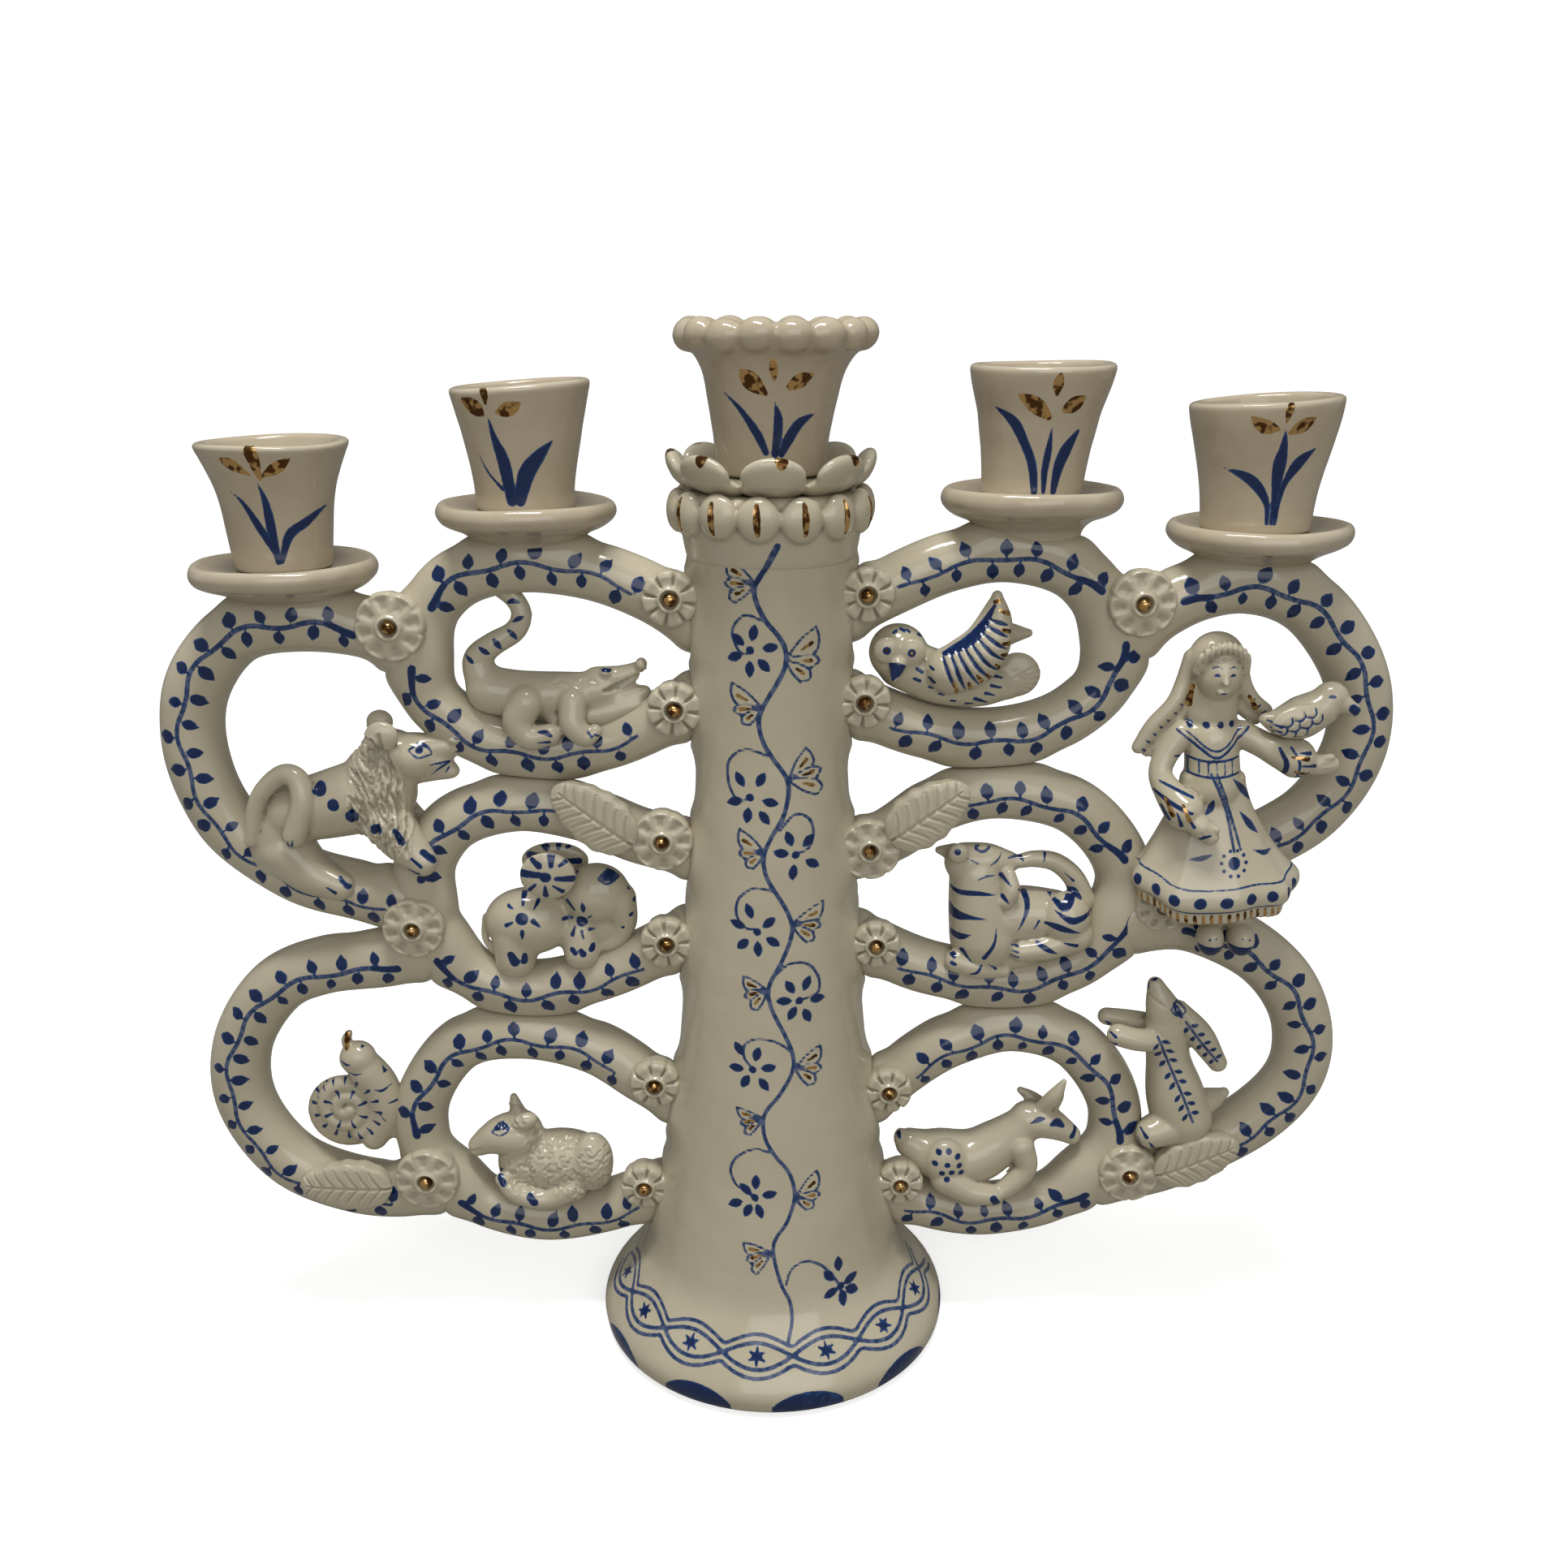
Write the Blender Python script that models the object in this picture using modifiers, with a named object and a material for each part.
"""Clay tree of life: a fired and glazed candelabrum for five taper candles.

A hollow turned trunk on a spreading foot carries ten rolled clay coils. Four candle
cups on saucers stand on the upper coils and a beaded cup stands on the trunk. Moulded
rosettes and leaves cover the joints, and ten animals and a woman sit on the coils.
Every piece is pressed onto the ones already in place and keeps a slip-thin gap to them.

Metres, +Z up. The origin is the centre of the foot's ring on the table, +X is the
viewer's right and -Y is the decorated front.
"""

import math

import bmesh
import bpy
from mathutils import Matrix, Vector

# Main sizes
TRUNK_HEIGHT = 0.309
FOOT_DIAMETER = 0.1328
ARM_SPAN = 0.409

# Layout. Routes, places and figures are drawn on a grid of millimetres over the real tree, which the
# main sizes stretch: the span between the outermost coils' centrelines sideways, the trunk upwards.
MM = 0.001
GRID_X = ARM_SPAN / 409
GRID_Z = TRUNK_HEIGHT / 309
GIRTH = FOOT_DIAMETER / 132.8

# Clay to clay
SLIP_GAP = 0.0003
STEEPEST_SHELL = 1.6
SMALLEST_EDGE = 0.00001

# Trunk
TRUNK_WALL = 0.006
TRUNK_STEPS = 24
FOOT_RING_WIDTH = 0.008

# Coils
INNER_COIL_THICKNESS = 0.0203
OUTER_COIL_THICKNESS = 0.0217
COIL_END_SHARE = 0.86
COIL_STATION = 0.0155
COIL_SIDES = 8

# Turned pieces
CUP_STEPS = 18
SAUCER_STEPS = 20
CROWN_CUP_STEPS = 20
BEAD_RINGS = 4
BEAD_STEPS = 7

# Candle cups
CUP_WALL = 0.0048
CUP_FLOOR = 0.006
SAUCER_THICKNESS = 0.007
SAUCER_DISH = 0.0035
NECK_DIAMETER = 0.036
NECK_DEPTH = 0.011
NECK_SQUEEZE = 0.72

# Crown of the trunk
BEAD_RING_DIAMETER = 0.0605
COWRIE_COUNT = 14
COWRIE_SIZE = (0.0136, 0.0095, 0.016)
COWRIE_PHASE = 0.3
COWRIE_OVERHANG = 0.0016
COLLAR_HEIGHT = 0.0115
COLLAR_ROUNDING = 0.0015
DISH_DIAMETER = 0.074
DISH_SEAT_DIAMETER = 0.041
DISH_FLOOR = 0.0045
DISH_RISE = 0.0085
PETAL_COUNT = 8
PETAL_NOTCH = 0.16
CROWN_CUP_WALL = 0.005
CROWN_CUP_FOOT_DIAMETER = 0.0372
CROWN_CUP_HEIGHT = 0.0475
LIP_BEAD_COUNT = 17
LIP_BEAD_DIAMETER = 0.0112
LIP_DIAMETER = 0.0565

# Pressed ornament. What stands nearer the axis than this on the grid has its seat beside the trunk.
BESIDE_TRUNK = 65.0
ROSETTE_PROUD = 0.0048
ROSETTE_DEPTH = 0.0112
ROSETTE_PETALS = 8
LEAF_SLAB = 0.0085
LEAF_PROUD = 0.0022
LEAF_CROWN = 0.0032
LEAF_BACK_SHARE = 0.86
GROOVED_NOTCH = 0.14
PRESSED_NOTCH = 0.08

# Modelled figures
FIGURE_VOXEL = 0.0013
FIGURE_TRIANGLES = 290
WOMAN_TRIANGLES = 740
ROLL_SIDES = 12
ROLL_STATION = 0.0022

INNER_RADIUS = INNER_COIL_THICKNESS / 2
OUTER_RADIUS = OUTER_COIL_THICKNESS / 2

# Trunk outline, radius and height on the grid, from the crown down to the table
TRUNK_OUTLINE = [
    (27.0, 309.0), (29.2, 306.5), (28.2, 299.0), (26.6, 276.0), (26.4, 240.0), (27.8, 205.0),
    (31.2, 157.0), (36.4, 102.0), (41.6, 64.0), (47.0, 35.5), (54.0, 23.5), (61.8, 15.5),
    (66.4, 9.0), (66.0, 3.0), (62.0, 0.0),
]

# Coil routes along their centrelines, x and z on the grid
INNER_COILS = {
    "coil_crocodile": [
        (-12, 264), (-26, 276), (-41, 286), (-62, 294), (-86, 297), (-108, 290), (-121, 272),
        (-120, 252), (-105, 237), (-84, 231.5), (-60, 233), (-38, 242), (-12, 257)],
    "coil_elephant": [
        (-12, 182), (-27, 192), (-48, 198.5), (-68, 207), (-92, 210.3), (-115, 202), (-127, 180),
        (-123, 157), (-107, 142.5), (-86, 138.8), (-62, 144.5), (-40, 155), (-12, 172)],
    "coil_lamb": [
        (-12, 77), (-32, 89.5), (-49, 101.5), (-68, 114), (-93, 120), (-117, 115), (-133, 92),
        (-132, 68), (-116, 49.5), (-91, 41.3), (-66, 44.5), (-42, 54.5), (-12, 72)],
    "coil_owl": [
        (12, 266), (26, 280), (43, 289.5), (61, 297), (81, 300), (104, 293), (118, 273),
        (116, 256), (102, 242), (81, 235.6), (59, 236.5), (38, 243), (12, 256)],
    "coil_tiger": [
        (12, 183), (27, 192), (43, 199), (60, 210.5), (82, 215.2), (108, 209), (126, 188),
        (125, 163), (109, 147.5), (86, 142), (60, 146), (38, 155), (12, 170)],
    "coil_deer": [
        (12, 75), (34, 90.5), (50, 105), (68, 117), (90, 123), (114, 115), (130, 90),
        (127, 66), (109, 50), (84, 43.5), (60, 46.5), (40, 54.5), (12, 72)],
}
OUTER_COILS = {
    "coil_lion": [
        (-119, 263), (-134, 273), (-160, 277), (-184, 272), (-200, 252), (-203.5, 228),
        (-194, 203), (-173, 185), (-151, 177.5), (-120, 172)],
    "coil_snake": [
        (-118, 158), (-138, 151), (-165, 147.5), (-184, 138.5), (-199, 116), (-200, 90),
        (-186, 66), (-163, 54.5), (-140, 52.5), (-118, 60)],
    "coil_woman": [
        (112, 262), (126, 276), (144, 287), (163, 290), (185, 281), (202, 258), (205.5, 232),
        (193, 208), (168, 191.5), (143, 174.5), (118, 161)],
    "coil_dog": [
        (114, 166), (133, 166), (156, 163.5), (181, 150), (196.5, 129), (198, 104), (184, 84),
        (158, 67.5), (137, 60.5), (121, 59)],
}

# Candle cups: the coil each stands on and its x on the grid, then in millimetres the saucer's rim above
# the coil's highest point, the lip above that rim, lip and foot diameters and the saucer's diameter
CUPS = {
    "left_outer": ("coil_lion", -165.0, 18.0, 42.5, 50.0, 33.0, 62.0),
    "left_inner": ("coil_crocodile", -82.0, 18.0, 40.6, 46.0, 33.0, 60.0),
    "right_inner": ("coil_owl", 87.0, 19.5, 42.2, 48.0, 33.5, 60.5),
    "right_outer": ("coil_woman", 164.0, 18.0, 42.5, 49.0, 36.0, 61.0),
}

# Rosettes: x and z on the grid and the diameter in millimetres, those with grooved petals and those
# with thumb-pressed petals
GROOVED_ROSETTES = {
    "left_1": (-32.8, 286.2, 18.8), "left_2": (-32.6, 248.2, 18.7), "left_3": (-37.4, 161.5, 18.6),
    "left_4": (-43.3, 104.4, 18.2), "left_5": (-47.9, 60.8, 17.6), "right_1": (30.3, 287.6, 18.3),
    "right_2": (30.4, 250.7, 17.9), "right_3": (37.1, 160.8, 17.0), "right_4": (43.0, 101.6, 17.0),
    "right_5": (47.8, 62.2, 17.0),
}
PRESSED_ROSETTES = {
    "left_6": (-127.8, 276.7, 23.6), "left_7": (-38.5, 200.4, 21.6), "left_8": (-128.3, 167.1, 22.0),
    "left_9": (-131.1, 63.6, 24.0), "right_6": (124.0, 284.3, 23.4), "right_7": (32.4, 197.1, 21.6),
    "right_8": (139.0, 175.3, 20.4), "right_9": (134.9, 66.1, 22.6),
}

# Leaves: x and z on the grid, length and width in millimetres and the tip's angle above +X in degrees
LEAVES = {
    "leaf_left_upper": (-61.5, 210.5, 29.0, 17.0, 142.0),
    "leaf_left_lower": (-159.5, 62.5, 31.0, 15.5, 177.0),
    "leaf_right_upper": (54.0, 211.5, 29.0, 17.0, 37.0),
    "leaf_right_lower": (159.0, 73.5, 30.0, 15.5, 24.0),
}

GLAZES = {
    "trunk": ((0.78, 0.76, 0.69), 0.16),
    "coil": ((0.76, 0.74, 0.67), 0.17),
    "cup": ((0.79, 0.76, 0.69), 0.15),
    "ornament": ((0.77, 0.75, 0.69), 0.18),
    "figure": ((0.76, 0.74, 0.68), 0.18),
}


def clear_scene():
    for old in list(bpy.data.objects):
        bpy.data.objects.remove(old, do_unlink=True)


def make_collection(name, helper=False):
    collection = bpy.data.collections.new(name)
    bpy.context.scene.collection.children.link(collection)
    collection.hide_render = helper
    return collection


def glaze(kind):
    """The glaze of one kind of piece, made once and shared by its pieces."""
    if kind in bpy.data.materials:
        return bpy.data.materials[kind]
    colour, roughness = GLAZES[kind]
    material = bpy.data.materials.new(kind)
    material.use_nodes = True
    shader = material.node_tree.nodes["Principled BSDF"]
    shader.inputs["Base Color"].default_value = (*colour, 1.0)
    shader.inputs["Roughness"].default_value = roughness
    shader.inputs["Metallic"].default_value = 0.0
    return material


def add_object(name, data):
    piece = bpy.data.objects.new(name, data)
    PIECES.objects.link(piece)
    return piece


def settled(piece, weld=1e-6):
    """The piece with its curve or modifiers turned into a plain mesh, its seams and caps welded."""
    bpy.context.view_layer.update()
    graph = bpy.context.evaluated_depsgraph_get()
    mesh = bpy.data.meshes.new_from_object(piece.evaluated_get(graph), depsgraph=graph)
    name, matrix = piece.name, piece.matrix_world.copy()
    bpy.data.objects.remove(piece, do_unlink=True)
    mesh.transform(matrix)
    work = bmesh.new()
    work.from_mesh(mesh)
    if weld:
        bmesh.ops.remove_doubles(work, verts=work.verts, dist=weld)
    loose = [edge for edge in work.edges if not edge.link_faces]
    bmesh.ops.delete(work, geom=loose, context="EDGES")
    work.to_mesh(mesh)
    work.free()
    return add_object(name, mesh)


def turned(name, profile, steps, centre=(0.0, 0.0, 0.0)):
    """A solid of revolution about Z. The profile runs down its outer side, top to bottom."""
    mesh = bpy.data.meshes.new(name)
    points = [(radius, 0.0, height) for radius, height in profile]
    mesh.from_pydata(points, [(i, i + 1) for i in range(len(points) - 1)], [])
    piece = add_object(name, mesh)
    piece.location = centre
    screw = piece.modifiers.new("turn", "SCREW")
    screw.steps = screw.render_steps = steps
    screw.use_merge_vertices = True
    screw.merge_threshold = 1e-5
    return settled(piece)


def inward(outline, wall):
    """The outline moved towards the axis by a wall's thickness, square to its own slope."""
    moved = []
    for i, (radius, height) in enumerate(outline):
        before = outline[max(i - 1, 0)]
        after = outline[min(i + 1, len(outline) - 1)]
        run = Vector((after[0] - before[0], after[1] - before[1])).normalized()
        moved.append((radius + run[1] * wall, height - run[0] * wall))
    return moved


def smooth_path(route, station):
    """Points about one station apart along the smooth curve through a route's points."""
    ends = [route[0] * 2 - route[1]] + route + [route[-1] * 2 - route[-2]]
    dense = []
    for a, b, c, d in zip(ends, ends[1:], ends[2:], ends[3:]):
        for step in range(12):
            t = step / 12
            dense.append(0.5 * (2 * b + (c - a) * t + (2 * a - 5 * b + 4 * c - d) * t * t
                                + (3 * b - a - 3 * c + d) * t ** 3))
    dense.append(route[-1])
    length = sum((b - a).length for a, b in zip(dense, dense[1:]))
    count = max(2, round(length / station))
    path, walked, target = [dense[0]], 0.0, length / count
    for a, b in zip(dense, dense[1:]):
        hop = (b - a).length
        while walked + hop >= target and len(path) < count:
            path.append(a.lerp(b, (target - walked) / hop))
            target += length / count
        walked += hop
    return path + [dense[-1]]


def rolled(name, path, radii, sides):
    """A roll of clay along a path, its radius given at each point, with flat ends."""
    curve = bpy.data.curves.new(name, "CURVE")
    curve.dimensions = "3D"
    curve.bevel_depth = 1.0
    curve.bevel_resolution = sides // 2 - 2
    curve.use_fill_caps = True
    spline = curve.splines.new("POLY")
    spline.points.add(len(path) - 1)
    for point, place, radius in zip(spline.points, path, radii):
        point.co = (*place, 1.0)
        point.radius = radius
    return settled(add_object(name, curve))


def on_grid(x, z, y=0.0):
    return Vector((x * GRID_X, y * MM, z * GRID_Z))


def beside_trunk(x, z):
    """A place on the grid that moves out with the trunk's girth, so that it keeps its seat there."""
    if abs(x) > BESIDE_TRUNK:
        return on_grid(x, z)
    radius = [point[0] for point in TRUNK_OUTLINE if point[1] >= z][-1]
    stouter = radius * (GIRTH - MM)
    return on_grid(x, z) + Vector((math.copysign(1.0, x) * stouter, 0.0, 0.0))


def outward_faces(mesh):
    work = bmesh.new()
    work.from_mesh(mesh)
    bmesh.ops.recalc_face_normals(work, faces=work.faces)
    if work.calc_volume(signed=True) < 0:
        bmesh.ops.reverse_faces(work, faces=work.faces)
    work.to_mesh(mesh)
    work.free()


def finish(piece, kind, sharp=40.0):
    """Shade it smooth and give it its glaze."""
    piece.data.materials.clear()
    piece.data.materials.append(glaze(kind))
    piece.data.shade_smooth()
    piece.data.set_sharp_from_angle(angle=math.radians(sharp))
    return piece


def box_of(piece):
    corners = [vertex.co for vertex in piece.data.vertices]
    low = Vector(min(c[i] for c in corners) for i in range(3))
    high = Vector(max(c[i] for c in corners) for i in range(3))
    return low, high


def boxes_meet(first, second):
    (low_a, high_a), (low_b, high_b) = box_of(first), box_of(second)
    return all(low_a[i] < high_b[i] and low_b[i] < high_a[i] for i in range(3))


def add_cutter(piece):
    """Keep a copy of the whole piece, its skin moved out by the slip gap, to cut later pieces with."""
    cutter = bpy.data.objects.new("slip_" + piece.name, piece.data.copy())
    CUTTERS.objects.link(cutter)
    cutter.hide_render = True
    cutter.display_type = "WIRE"
    work = bmesh.new()
    work.from_mesh(cutter.data)
    bmesh.ops.triangulate(work, faces=work.faces)
    work.normal_update()
    moves = [vertex.normal * min(vertex.calc_shell_factor(), STEEPEST_SHELL) for vertex in work.verts]
    for vertex, move in zip(work.verts, moves):
        vertex.co += move * SLIP_GAP
    work.to_mesh(cutter.data)
    work.free()
    return cutter


def keep_main_body(piece):
    """Drop the crumbs that pressing onto a neighbour cuts off, and keep the largest body."""
    work = bmesh.new()
    work.from_mesh(piece.data)
    bmesh.ops.dissolve_degenerate(work, edges=work.edges, dist=SMALLEST_EDGE)
    left, bodies = set(work.faces), []
    while left:
        body, edge_of_body = set(), [left.pop()]
        while edge_of_body:
            face = edge_of_body.pop()
            body.add(face)
            for edge in face.edges:
                for neighbour in edge.link_faces:
                    if neighbour in left:
                        left.remove(neighbour)
                        edge_of_body.append(neighbour)
        bodies.append(body)
    bodies.sort(key=lambda body: sum(face.calc_area() for face in body))
    crumbs = [face for body in bodies[:-1] for face in body]
    bmesh.ops.delete(work, geom=crumbs, context="FACES")
    work.to_mesh(piece.data)
    work.free()


def press(piece):
    """Press the piece onto all that is in place: what it would share with them is cut away.

    The exact solver loses whole pieces where two rolls cross at a shallow angle, so these
    cuts use the manifold one.
    """
    before = [cutter for cutter in CUTTERS.objects if boxes_meet(piece, cutter)]
    add_cutter(piece)
    for cutter in before:
        cut = piece.modifiers.new("press_" + cutter.name, "BOOLEAN")
        cut.operation = "DIFFERENCE"
        cut.solver = "MANIFOLD"
        cut.object = cutter
    piece = settled(piece, weld=0.0)
    keep_main_body(piece)
    return piece


def joined(name, shapes):
    """One mesh of several closed shapes, which may overlap."""
    work = bmesh.new()
    for shape in shapes:
        work.from_mesh(shape.data)
        bpy.data.objects.remove(shape, do_unlink=True)
    mesh = bpy.data.meshes.new(name)
    work.to_mesh(mesh)
    work.free()
    return add_object(name, mesh)


def united(name, base, shapes):
    """A base with other shapes fused onto it by Boolean unions."""
    for shape in shapes:
        fuse = base.modifiers.new("fuse", "BOOLEAN")
        fuse.operation = "UNION"
        fuse.solver = "EXACT"
        fuse.object = shape
    base = settled(base)
    for shape in shapes:
        bpy.data.objects.remove(shape, do_unlink=True)
    base.name = name
    return base


# ---- trunk and crown ----


def make_trunk():
    """The hollow turned trunk: closed at the crown, open under its spreading foot."""
    outer = [(radius * GIRTH, height * GRID_Z) for radius, height in TRUNK_OUTLINE]
    top, ring = outer[0][1], outer[-1][0] - FOOT_RING_WIDTH
    ceiling = top - TRUNK_WALL
    inner = [point for point in inward(outer, TRUNK_WALL) if point[0] < ring and point[1] < ceiling]
    profile = [(0.0, top)] + outer + [(ring, 0.0)] + inner[::-1]
    profile += [(inner[0][0], ceiling), (0.0, ceiling)]
    return finish(press(turned("trunk", profile, TRUNK_STEPS)), "trunk")


def bead(name, size, centre, turn=0.0, rings=BEAD_RINGS, steps=BEAD_STEPS):
    """An ellipsoid bead: size across its three axes, turned about Z."""
    work = bmesh.new()
    bmesh.ops.create_uvsphere(work, u_segments=steps, v_segments=rings, radius=0.5)
    mesh = bpy.data.meshes.new(name)
    work.to_mesh(mesh)
    work.free()
    place = Matrix.Translation(centre) @ Matrix.Rotation(turn, 4, "Z") @ Matrix.Diagonal((*size, 1.0))
    mesh.transform(place)
    return add_object(name, mesh)


def make_bead_ring():
    """The collar on the trunk's crown, with cowrie-shaped beads pressed round it."""
    radius, half = BEAD_RING_DIAMETER / 2, COWRIE_SIZE[2] / 2
    low = TRUNK_HEIGHT + SLIP_GAP
    high = low + COLLAR_HEIGHT
    edge = radius - COLLAR_ROUNDING
    profile = [(0.0, high), (edge, high), (radius, (low + high) / 2), (edge, low), (0.0, low)]
    band = turned("bead_ring", profile, COWRIE_COUNT * 2)
    beads = []
    for i in range(COWRIE_COUNT):
        angle = math.tau * (i + COWRIE_PHASE) / COWRIE_COUNT - math.pi / 2
        place = (radius * math.cos(angle), radius * math.sin(angle), low + half - COWRIE_OVERHANG)
        beads.append(bead("cowrie", COWRIE_SIZE, place, angle + math.pi / 2))
    return finish(press(united("bead_ring", band, beads)), "ornament"), high


def scallop(piece, lobes, notch, inner, phase=0.0):
    """Pull the outer part of a turned disc in between its lobes."""
    reach = max(vertex.co.xy.length for vertex in piece.data.vertices)
    for vertex in piece.data.vertices:
        radius = vertex.co.xy.length
        share = max(0.0, (radius - inner) / (reach - inner))
        angle = math.atan2(vertex.co.y, vertex.co.x) - phase
        pull = 1.0 - notch * share * (1.0 - abs(math.cos(lobes * angle / 2)))
        vertex.co.x *= pull
        vertex.co.y *= pull
    return piece


def make_petal_dish(below):
    """A dish of thick upturned petals that the crown's cup stands in."""
    radius, low = DISH_DIAMETER / 2, below + SLIP_GAP
    floor = low + DISH_FLOOR
    profile = [
        (0.0, floor), (DISH_SEAT_DIAMETER / 2, floor), (radius * 0.84, floor + DISH_RISE * 0.5),
        (radius * 0.97, floor + DISH_RISE), (radius, floor + DISH_RISE * 0.72),
        (radius * 0.84, floor - DISH_FLOOR * 0.1), (DISH_SEAT_DIAMETER / 2, low), (0.0, low),
    ]
    dish = turned("petal_dish", profile, PETAL_COUNT * 4)
    scallop(dish, PETAL_COUNT, PETAL_NOTCH, DISH_SEAT_DIAMETER / 2, math.pi / 2)
    return finish(press(dish), "ornament"), floor


def make_crown_cup(below):
    """The middle candle cup, flared, with fat beads pressed round its lip."""
    lip, foot, low = LIP_DIAMETER / 2, CROWN_CUP_FOOT_DIAMETER / 2, below + SLIP_GAP
    flare, top, wall = lip - foot, low + CROWN_CUP_HEIGHT, CROWN_CUP_WALL
    profile = [
        (lip, top), (lip - flare * 0.24, top - flare * 0.6),
        (foot + flare * 0.28, low + CROWN_CUP_HEIGHT * 0.45), (foot, low), (0.0, low),
        (0.0, low + CUP_FLOOR), (foot - wall, low + CUP_FLOOR),
        (foot + flare * 0.28 - wall, low + CROWN_CUP_HEIGHT * 0.45),
        (lip - flare * 0.24 - wall, top - flare * 0.5),
        (lip - wall, top), (lip, top),
    ]
    cup = turned("crown_cup", profile, CROWN_CUP_STEPS)
    beads = []
    for i in range(LIP_BEAD_COUNT):
        angle = math.tau * (i + 0.5) / LIP_BEAD_COUNT - math.pi / 2
        place = (lip * math.cos(angle), lip * math.sin(angle), top - LIP_BEAD_DIAMETER * 0.12)
        size = (LIP_BEAD_DIAMETER, LIP_BEAD_DIAMETER * 0.9, LIP_BEAD_DIAMETER)
        beads.append(bead("lip_bead", size, place, angle + math.pi / 2))
    return finish(press(united("crown_cup", cup, beads)), "cup")


# ---- coils, saucers and cups ----


def make_coil(name, route, radius):
    """A roll of clay whose thinned ends tuck into the trunk or into the coils beside it."""
    path = smooth_path([on_grid(x, z) for x, z in route], COIL_STATION)
    end = radius * COIL_END_SHARE
    coil = rolled(name, path, [end] + [radius] * (len(path) - 2) + [end], COIL_SIDES)
    return finish(press(coil), "coil", sharp=60.0)


def make_saucer(name, x, rim_height, diameter):
    """A thick dished saucer on a neck that is squeezed to straddle its coil."""
    radius, half, neck = diameter / 2, SAUCER_THICKNESS / 2, NECK_DIAMETER / 2
    profile = [
        (0.0, half - SAUCER_DISH), (radius * 0.62, half - SAUCER_DISH), (radius * 0.9, half),
        (radius, half * 0.2), (radius * 0.95, -half * 0.8), (neck, -half * 2.0),
        (neck * 1.02, -NECK_DEPTH), (0.0, -NECK_DEPTH),
    ]
    saucer = turned(name, profile, SAUCER_STEPS, (x, 0.0, rim_height))
    for vertex in saucer.data.vertices:
        if vertex.co.z < rim_height - half * 2.5:
            vertex.co.y *= NECK_SQUEEZE
    return finish(press(saucer), "cup")


def make_cup(name, x, rim_height, lip_height, lip_diameter, foot_diameter):
    """A tapered cup with a rounded lip, standing in its saucer's dish."""
    low = rim_height + SAUCER_THICKNESS / 2 - SAUCER_DISH + SLIP_GAP
    lip, foot, height, wall = lip_diameter / 2, foot_diameter / 2, lip_height - low, CUP_WALL
    flare = lip - foot
    profile = [
        (lip - wall * 0.35, height), (lip, height - wall * 0.4), (foot + flare * 0.38, height * 0.5),
        (foot, 0.0), (0.0, 0.0), (0.0, CUP_FLOOR), (foot - wall, CUP_FLOOR),
        (foot + flare * 0.38 - wall, height * 0.5), (lip - wall, height - wall * 0.4),
        (lip - wall * 0.35, height),
    ]
    return finish(press(turned(name, profile, CUP_STEPS, (x, 0.0, low))), "cup")


# ---- pressed ornament ----


def make_rosette(name, place, diameter, notch):
    """A moulded flower pressed on with the thumb: lobed rim, raised ball in the middle."""
    radius = diameter / 2
    front = ROSETTE_DEPTH
    profile = [
        (0.0, front), (radius * 0.24, front * 0.94), (radius * 0.34, front * 0.78),
        (radius, front * 0.6), (radius * 0.8, 0.0), (0.0, 0.0),
    ]
    flower = turned(name, profile, ROSETTE_PETALS * 2)
    scallop(flower, ROSETTE_PETALS, notch, radius * 0.35)
    back = -(INNER_RADIUS + ROSETTE_PROUD) + ROSETTE_DEPTH
    stand = Matrix.Translation((place.x, back, place.z))
    flower.data.transform(stand @ Matrix.Rotation(math.pi / 2, 4, "X"))
    return finish(press(flower), "ornament", sharp=50.0)


def make_leaf(name, place, length, width, tip_angle):
    """A pointed leaf with a raised midrib, laid on the front of the coil."""
    work = bmesh.new()
    bmesh.ops.create_grid(work, x_segments=6, y_segments=4, size=1.0)
    raised = bmesh.ops.extrude_face_region(work, geom=work.faces[:])["geom"]
    front = {item for item in raised if isinstance(item, bmesh.types.BMVert)}
    for vertex in work.verts:
        along, across = vertex.co.x, vertex.co.y
        swell = max(0.06, 1 - along * along) ** 0.5 * (1.0 - 0.18 * along)
        dome = (1 - across * across) * (1 - along ** 4) + 0.3 * max(0.0, 1 - abs(across) * 4)
        spread, height = (1.0, LEAF_CROWN * dome) if vertex in front else (LEAF_BACK_SHARE, -LEAF_SLAB)
        vertex.co = Vector((along * spread * length / 2, across * spread * swell * width / 2, height))
    mesh = bpy.data.meshes.new(name)
    work.to_mesh(mesh)
    work.free()
    outward_faces(mesh)
    leaf = add_object(name, mesh)
    stand = Matrix.Translation((place.x, -(OUTER_RADIUS + LEAF_PROUD), place.z))
    spin = Matrix.Rotation(-math.radians(tip_angle), 4, "Y")
    leaf.data.transform(stand @ spin @ Matrix.Rotation(math.pi / 2, 4, "X"))
    return finish(press(leaf), "ornament", sharp=35.0)


# ---- modelled figures, drawn on the grid as x, z, y and radius ----


def lump(x, z, y, across, up, deep, lean=0.0):
    """An ellipsoid of clay by its half-sizes, leaning anticlockwise as seen from the front."""
    size = (2 * across * GRID_X, 2 * deep * MM, 2 * up * GRID_Z)
    ball = bead("lump", size, (0, 0, 0), rings=10, steps=14)
    ball.data.transform(Matrix.Translation(on_grid(x, z, y)) @ Matrix.Rotation(-math.radians(lean), 4, "Y"))
    return ball


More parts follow.
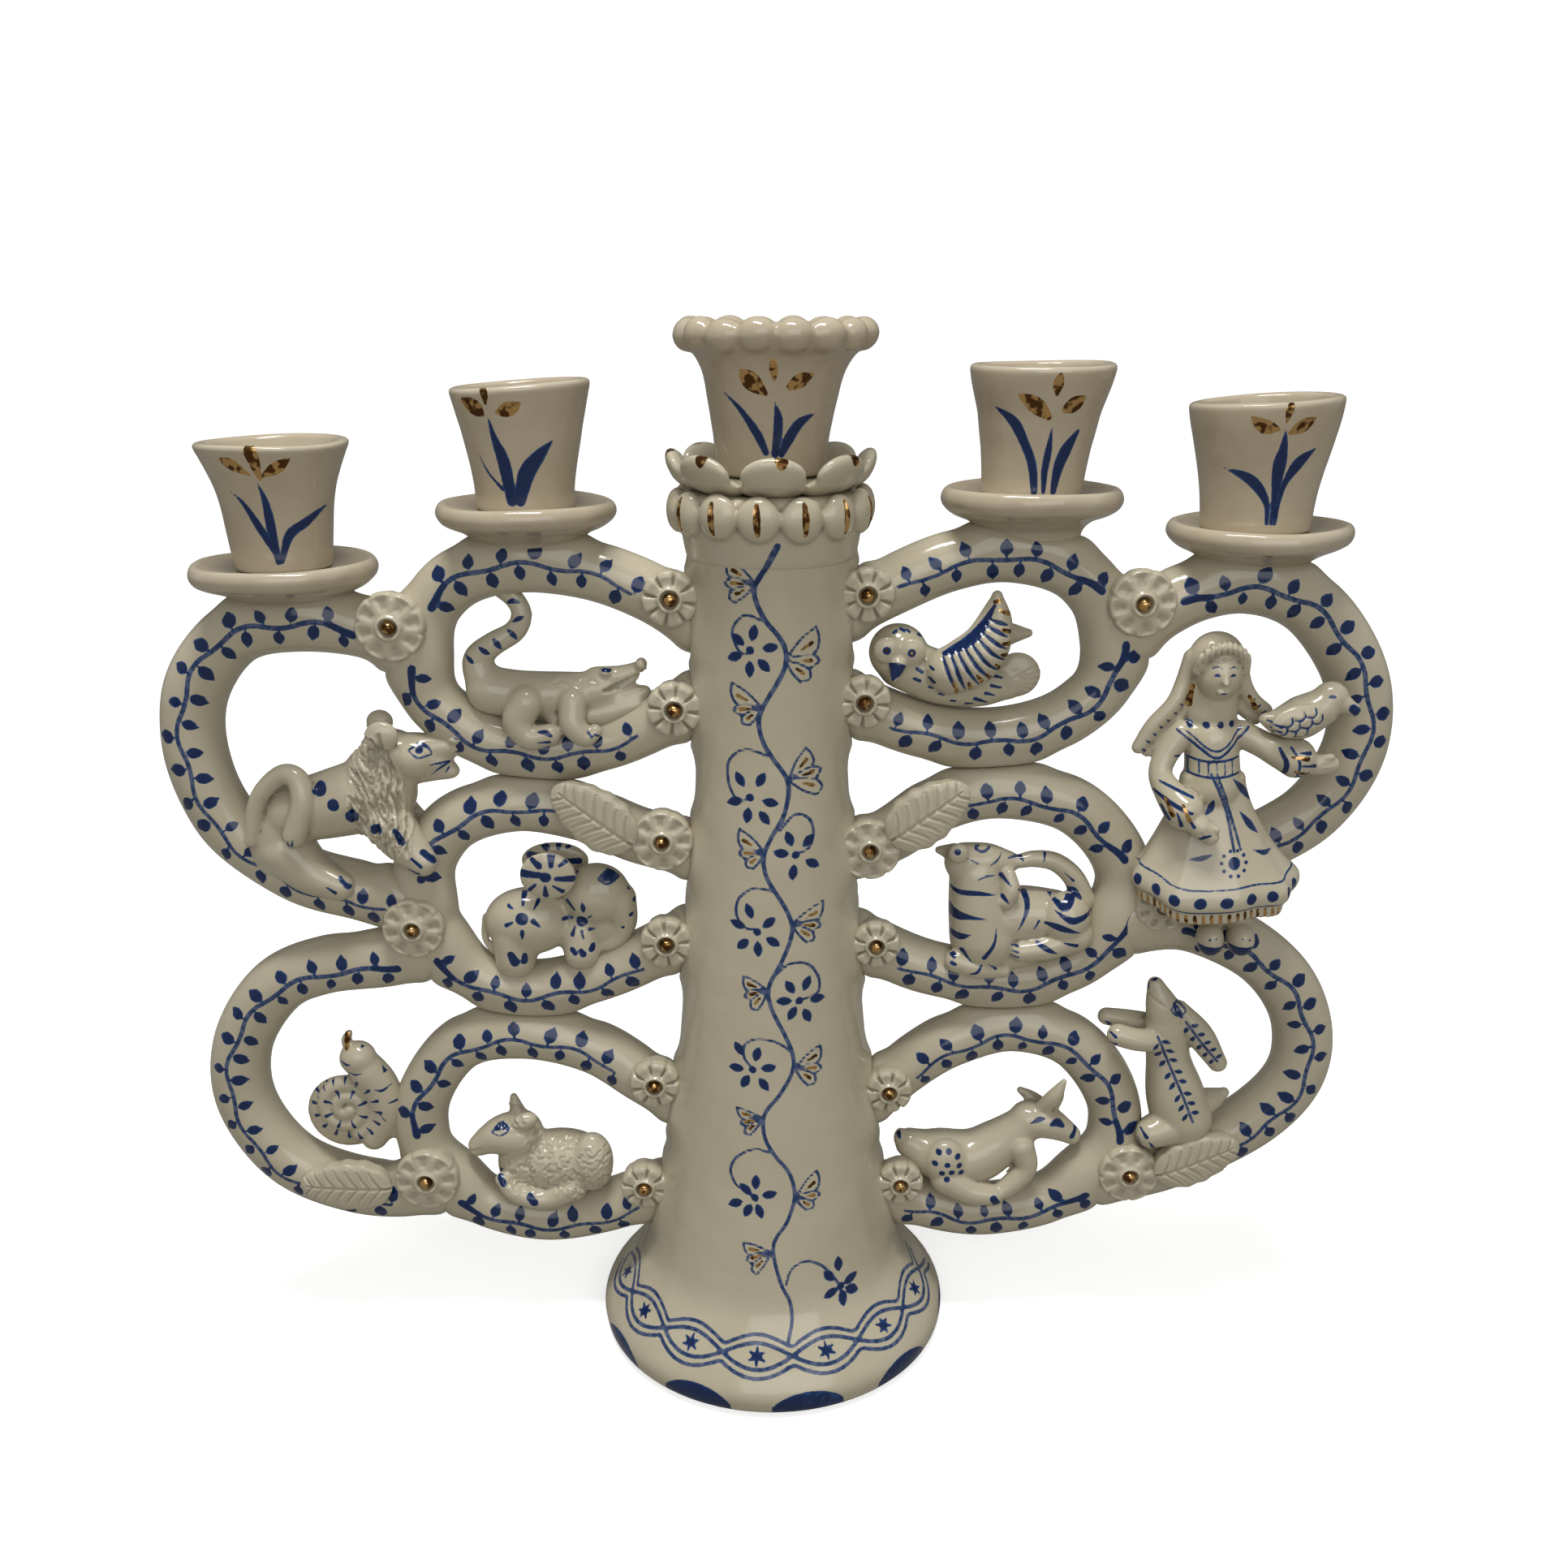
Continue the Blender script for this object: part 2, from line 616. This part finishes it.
def roll(*stations):
    """A tapered roll through stations of x, z, y, radius, with round ends."""
    spots = [on_grid(x, z, y) for x, z, y, _ in stations]
    path = smooth_path(spots, ROLL_STATION)
    radii = [radius * (GRID_X + GRID_Z) / 2 for *_, radius in stations]
    run = [0.0]
    for a, b in zip(spots, spots[1:]):
        run.append(run[-1] + (b - a).length)
    walked, along = 0.0, []
    for i, place in enumerate(path):
        walked += (place - path[i - 1]).length if i else 0.0
        reach = walked
        k = max(j for j in range(len(run) - 1) if run[j] <= reach or j == 0)
        share = min(1.0, (reach - run[k]) / max(run[k + 1] - run[k], 1e-9))
        share = share * share * (3 - 2 * share)
        along.append(radii[k] + (radii[k + 1] - radii[k]) * share)
    body = rolled("roll", path, along, ROLL_SIDES)
    ends = ((path[0], along[0]), (path[-1], along[-1]))
    caps = [bead("cap", (2 * r,) * 3, p, rings=8, steps=12) for p, r in ends]
    return joined("roll", [body] + caps)


def clay(name, shapes, triangles=None):
    """Lumps and rolls worked into one skin, then pressed onto what is in place."""
    triangles = triangles or FIGURE_TRIANGLES
    figure = joined(name, shapes)
    skin = figure.modifiers.new("skin", "REMESH")
    skin.mode = "VOXEL"
    skin.voxel_size = FIGURE_VOXEL
    smooth = figure.modifiers.new("smooth", "SMOOTH")
    smooth.iterations = 2
    smooth.factor = 0.5
    figure = settled(figure)
    keep_main_body(figure)
    thin = figure.modifiers.new("thin", "DECIMATE")
    thin.ratio = min(1.0, triangles / (2 * len(figure.data.polygons)))
    figure = settled(figure)
    outward_faces(figure.data)
    return finish(press(figure), "figure", sharp=70.0)


def make_crocodile():
    return clay("crocodile", [
        roll((-97, 251, -2, 8.5), (-82, 253, -2, 8.5), (-66, 253, -2, 8), (-58, 255, -2, 6)),
        roll((-98, 252, -2, 7.5), (-102, 259, -2, 5.6), (-97, 266.5, -2, 4.8), (-88, 271.5, -2, 4.4),
             (-83.5, 277.5, -1, 4.2), (-87, 285, -1, 4.2), (-91, 290, 0, 4.6)),
        roll((-60, 257, -2, 5.6), (-51, 260, -2, 4.3), (-44, 262.2, -2, 3.0)),
        roll((-61, 251, -2, 5.2), (-50, 251.5, -2, 3.8), (-42, 253, -2, 2.8)),
        lump(-57, 260.5, -4, 2.6, 2.0, 2.6),
        roll((-83, 251, -9, 6.0), (-87, 244, -10, 5.6), (-84, 239.5, -11, 4.6), (-73, 239, -11.5, 3.8)),
        roll((-67, 250, -9, 4.8), (-67, 241, -11, 4.6), (-62, 236, -11.5, 4.2), (-55, 238, -11, 3.2)),
        roll((-70, 250, 6, 4.6), (-68, 240, 9, 4.4), (-60, 237, 10, 3.4)),
        roll((-88, 250, 6, 5.6), (-90, 242, 9, 5.0), (-79, 238, 10, 3.6)),
    ])


def make_lion():
    return clay("lion", [
        lump(-174.5, 205, -4, 11, 17, 10, -8),
        roll((-171, 200, -5, 10.5), (-163, 190, -7, 8), (-153, 182, -10, 5.2)),
        roll((-167, 213, -4, 10.5), (-154, 216, -4, 11.5), (-142, 214, -4, 11)),
        lump(-138, 221, -4, 11.5, 15.5, 11.5, 12),
        roll((-139, 209, -8, 8.5), (-130, 199, -10, 6.8), (-121, 190.5, -12, 5.2)),
        roll((-134, 211, 3, 7), (-126, 203, 5, 5.6), (-117, 197, 6, 4.6)),
        roll((-168, 196, 5, 8), (-158, 186, 7, 6), (-148, 182, 8, 4.6)),
        lump(-131, 231.5, -5, 9, 8.5, 8.5),
        roll((-128, 234, -5, 6.4), (-118, 235.5, -5, 4.6), (-111, 235.8, -5, 4.0)),
        roll((-128, 228, -5, 5.4), (-118, 227, -5, 3.8), (-112, 226.6, -5, 3.0)),
        lump(-134.5, 238, -12.5, 5.2, 5.0, 2.6),
        lump(-132.5, 244.5, 1, 4.0, 4.2, 2.4),
        roll((-183, 199, -12, 2.6), (-183.5, 212, -12, 3.2), (-177, 221.5, -12, 3.6),
             (-170.5, 223, -13, 3.8), (-167, 215, -15, 3.8), (-166.5, 201, -15.5, 4.0)),
    ], FIGURE_TRIANGLES + 160)


def make_elephant():
    return clay("elephant", [
        lump(-84, 171.5, -2, 18.5, 14, 10.5),
        roll((-93, 165, -3, 8.5), (-94, 154, -4, 7.6)),
        roll((-70, 166, -4, 8), (-70, 154.5, -5, 7.2)),
        roll((-92, 165, 4, 7.0), (-91, 154, 5, 6.6)),
        roll((-70, 166, 4, 7.0), (-70, 154, 5, 6.6)),
        lump(-65, 181, -2, 13, 11, 9.5),
        roll((-58, 180, -2, 7.8), (-54.5, 171, -2, 5.6), (-55.5, 163, -3, 4.2), (-59.5, 158.5, -4, 3.2)),
        lump(-79, 187, -11.5, 10, 9.3, 2.4),
        lump(-78, 192.5, 6.5, 10, 8.5, 2.4),
        roll((-101.5, 173, -2, 1.8), (-104, 166, -2, 1.6), (-101, 158, -2, 2.2)),
    ], FIGURE_TRIANGLES + 60)


def make_snake():
    spiral = []
    for i in range(19):
        turn = math.tau * (0.1 + 1.9 * i / 18)
        reach = 2.0 + 10.0 * i / 18
        x, z = -157.5 + reach * math.cos(-turn), 90.5 + reach * math.sin(-turn)
        spiral.append((x, z, -5 + 0.12 * reach, 3.9 + 0.1 * reach))
    return clay("snake", [
        roll(*spiral),
        lump(-157.5, 90.5, 0, 13, 13, 5.5),
        roll((-146, 84, -2, 5.5), (-142.5, 94, -2, 5.6), (-145.5, 104, -3, 6.0), (-150.5, 112, -4, 6.2)),
        lump(-152.5, 114.5, -4.5, 6.6, 7.0, 6.4),
        roll((-156.0, 119, -4, 1.7), (-156.2, 122.5, -4, 1.7), (-155.2, 125, -4, 1.1)),
        roll((-141, 98, -1, 5.0), (-136, 92, 0, 5.0)),
    ])


def make_lamb():
    return clay("lamb", [
        lump(-79.5, 72.5, -2, 19, 15, 11),
        lump(-68, 67, -6, 9.5, 13, 8, 10),
        lump(-93, 72, -2, 10, 13, 9.5),
        roll((-93, 80, -3, 9.5), (-99, 82.5, -3, 8.0)),
        roll((-99, 82, -4, 7.4), (-107, 79, -4, 5.6), (-112.3, 77.3, -4, 4.3)),
        roll((-99, 88, -1, 3.4), (-97.5, 94, 0, 2.8), (-96.3, 98.5, 0, 1.5)),
        lump(-91.5, 88.5, -11, 4.6, 3.6, 2.2, 20),
        roll((-69, 58, -9, 6.2), (-79, 55.5, -11, 4.8), (-89.5, 55.0, -12.5, 3.9)),
        roll((-92, 62, -6, 5.0), (-99, 59.5, -8, 4.2), (-102.5, 63.5, -9, 3.0)),
    ])


def make_owl():
    return clay("owl", [
        lump(44.5, 265.5, -3, 10, 9.8, 9),
        roll((45, 262, -2, 9), (58, 257, -2, 9.3), (72, 254.5, -1, 8.2), (82, 253.5, 0, 5)),
        lump(40.8, 267.5, -10.5, 4.8, 4.8, 2.2), lump(50.2, 267.3, -10.5, 4.8, 4.8, 2.2),
        roll((44.5, 262.5, -11, 2.4), (43.5, 259, -12, 1.3)),
        lump(87, 255.5, 0, 8, 7.2, 3.2),
        roll((61, 261, -10, 8.0), (67.5, 264, -10.5, 9.6), (73, 270, -11, 8.0), (76, 277, -11, 5.0),
             (76.5, 284, -11, 2.4)),
        roll((62, 266, -9, 4.6), (69, 274, -10, 4.6), (75.5, 284.5, -11, 2.6)),
        roll((72, 266, 6, 6.5), (80, 270, 6.5, 5.0), (88.5, 271.2, 7, 1.6)),
    ])


def make_tiger():
    return clay("tiger", [
        roll((72, 188, -3, 9.5), (72.5, 176, -3, 10.2), (75, 164, -3, 11.5)),
        roll((69, 192.5, -4, 7.6), (78, 192.5, -4, 6.4), (84.5, 191.3, -4, 4.2)),
        lump(66, 195.5, -10, 3.4, 3.6, 2.2),
        roll((64, 195.5, 0, 3.4), (59.6, 197.3, 0, 1.4)),
        roll((81, 189, -9, 3.6), (83, 182, -10.5, 3.4), (82.5, 177, -11, 3.2)),
        roll((85, 189.5, -5, 3.2), (91, 192, -4, 3.4), (98.5, 190, -3, 3.7), (104.5, 184, -3, 4.2),
             (106, 176, -3, 5.0)),
        roll((77, 166, -2, 10.5), (90, 170, -2, 10.5), (99, 172, -2, 10)),
        lump(103, 171.5, -6, 9.6, 9.8, 7.5),
        roll((106, 164, -8, 5.4), (98, 158, -9, 4.8), (88, 157.5, -10, 3.9)),
        roll((66, 154.5, -9, 4.2), (75, 151.5, -10, 4.6), (84, 151.5, -10, 4.0)),
        lump(82, 158, -2, 14, 7.5, 9),
    ], FIGURE_TRIANGLES + 80)


def make_deer():
    return clay("deer", [
        roll((53.5, 77, -2, 7.0), (63, 73.5, -2, 10.5), (77, 72.5, -2, 10.8), (88, 77, -2, 9.0),
             (95, 86, -3, 7.0)),
        roll((96, 87, -3, 6.8), (103, 87, -4, 6.2), (109.5, 82.5, -4, 4.4), (112.5, 81.2, -4, 3.4)),
        roll((97, 93, -6, 2.8), (102, 99, -8, 2.6), (107, 103.3, -9, 1.5)),
        roll((101, 93, -2, 2.6), (105, 98.5, -3, 2.2), (108, 101.5, -4, 1.4)),
        roll((98, 94, 2, 2.6), (92.6, 100.0, 4, 2.4)),
        lump(65.5, 69, -9.5, 7.6, 8.6, 5.5),
        roll((68, 61.5, -10, 5.2), (76, 57, -11.5, 4.2), (84.5, 56.5, -12.5, 3.2)),
        roll((92.5, 69, -8, 4.4), (93.5, 62, -9, 3.8), (86, 58.5, -10, 3.8)),
        roll((57, 69, 4, 7), (70, 60.5, 4, 6.6), (84, 56, 4, 5.2)),
        lump(49, 79, -2, 3.2, 4.4, 3),
    ])


def make_dog():
    return clay("dog", [
        roll((138.3, 142.5, -6, 3.6), (140.2, 135.5, -6, 5.6), (143, 128.5, -5, 7.4)),
        roll((143, 126, -5, 7.6), (145, 115, -5, 8.6), (148, 103, -5, 9.8), (149, 91, -5, 9.4)),
        roll((147, 131, -8, 3.8), (153.5, 124, -9, 5.0), (160.5, 113, -9, 3.4)),
        roll((138, 123, -9, 4.6), (130, 121.5, -11, 4.4), (124.5, 122.5, -11, 3.8)),
        roll((137, 127, 2, 4.4), (128, 127.5, 0, 4.6), (122.5, 128.5, -1, 3.4)),
        roll((148, 86, -8, 7.0), (139.5, 82, -11, 5.4)),
        roll((146, 86, 3, 7.0), (138, 82, 5, 5.4)),
        roll((153, 95, -4, 5.0), (160, 96.5, -4, 4.0), (164.5, 98.5, -4, 2.6)),
    ], FIGURE_TRIANGLES + 60)


def make_woman():
    """A woman in a long dress and veil, standing before the coils with a dove on her arm."""
    hem = []
    for i in range(25):
        turn = math.tau * i / 24
        front = -math.sin(turn)
        edge = 184.5 - 5.5 * max(0.0, front) ** 1.5 + 1.2 * math.cos(3 * turn)
        hem.append((157 + 25.0 * math.cos(turn), edge, -13 - 13.5 * front, 2.6))
    return clay("woman", [
        lump(155.5, 203, -12.5, 17, 16, 10),
        lump(155, 196, -13, 21.5, 15, 12),
        lump(157, 189, -13, 24.5, 9, 13.0),
        roll(*hem),
        roll((148.5, 242, -11, 8.5), (149.5, 234, -11, 8.0), (151, 226, -11.5, 8.6), (153, 214, -12, 13.5)),
        lump(148.5, 241.5, -11, 12.5, 4.6, 6.2),
        roll((148.5, 243, -11, 4.6), (148.8, 252, -12, 4.4)),
        lump(148.8, 260.6, -13, 8.6, 9.8, 8.2),
        lump(148.6, 263.6, -10.5, 9.9, 9.8, 9.0),
        roll((141, 264, -9, 4.0), (137.5, 255, -8, 4.8), (132, 245, -8, 4.8), (127.5, 238.5, -8, 4.6),
             (127.2, 232, -8, 3.0)),
        roll((157, 263, -9, 3.2), (159.8, 254, -8, 3.8), (165, 247.5, -7, 3.6)),
        roll((136.5, 240.5, -12, 4.8), (131.5, 232, -13, 4.4), (131.5, 224, -16, 4.4), (136, 218, -20, 6.2)),
        roll((136, 219, -20, 6.4), (139.5, 214.5, -21.5, 6.4)),
        roll((140, 213, -22.5, 4.2), (144, 207.5, -24, 3.9), (148, 203.8, -25, 3.3)),
        roll((159, 241.5, -12, 4.8), (166.5, 237.3, -14, 4.8), (173, 232.8, -16, 6.0),
             (178.5, 230.8, -17, 6.6)),
        roll((178, 230.8, -17, 4.2), (184.5, 229.4, -17.5, 4.0), (189.2, 229.4, -17.5, 3.5)),
        lump(158.0, 166.8, -18, 4.6, 7.0, 5.6), lump(167.2, 166.6, -17, 4.6, 7.0, 5.6),
        roll((159, 180, -15, 5.2), (158.5, 168, -16, 4.6)),
        roll((166, 180, -15, 5.2), (166.5, 168, -16, 4.6)),
    ], WOMAN_TRIANGLES)


def make_dove():
    return clay("dove", [
        roll((166.5, 245.8, -17, 1.8), (171, 245, -17, 4.6), (178, 246, -17, 7.4), (185, 250, -17, 6.6)),
        lump(189, 253.5, -17, 5.8, 5.4, 5.2),
        roll((191, 252.5, -17, 3.0), (195, 250, -17, 1.4)),
        lump(177, 247.5, -23, 8.5, 5.2, 2.4, 14),
    ], FIGURE_TRIANGLES - 100)


def make_tree():
    make_trunk()
    _, ring_top = make_bead_ring()
    _, dish_floor = make_petal_dish(ring_top)
    make_crown_cup(dish_floor)
    for name, route in INNER_COILS.items():
        make_coil(name, route, INNER_RADIUS)
    for name, route in OUTER_COILS.items():
        make_coil(name, route, OUTER_RADIUS)
    routes = {**INNER_COILS, **OUTER_COILS}
    for name, (coil, x, rise, height, lip_width, foot_width, saucer_width) in CUPS.items():
        rim = max(z for _, z in routes[coil]) * GRID_Z + rise * MM
        lip = rim + height * MM
        make_saucer("saucer_" + name, x * GRID_X, rim, saucer_width * MM)
        make_cup("cup_" + name, x * GRID_X, rim, lip, lip_width * MM, foot_width * MM)
    for name, (x, z, width) in GROOVED_ROSETTES.items():
        make_rosette("rosette_" + name, beside_trunk(x, z), width * MM, GROOVED_NOTCH)
    for name, (x, z, width) in PRESSED_ROSETTES.items():
        make_rosette("rosette_" + name, beside_trunk(x, z), width * MM, PRESSED_NOTCH)
    for name, (x, z, length, width, tip_angle) in LEAVES.items():
        make_leaf(name, beside_trunk(x, z), length * MM, width * MM, tip_angle)
    make_crocodile()
    make_lion()
    make_elephant()
    make_snake()
    make_lamb()
    make_owl()
    make_tiger()
    make_deer()
    make_dog()
    make_woman()
    make_dove()


clear_scene()
PIECES = make_collection("clay_tree_of_life")
CUTTERS = make_collection("cutters", helper=True)
make_tree()
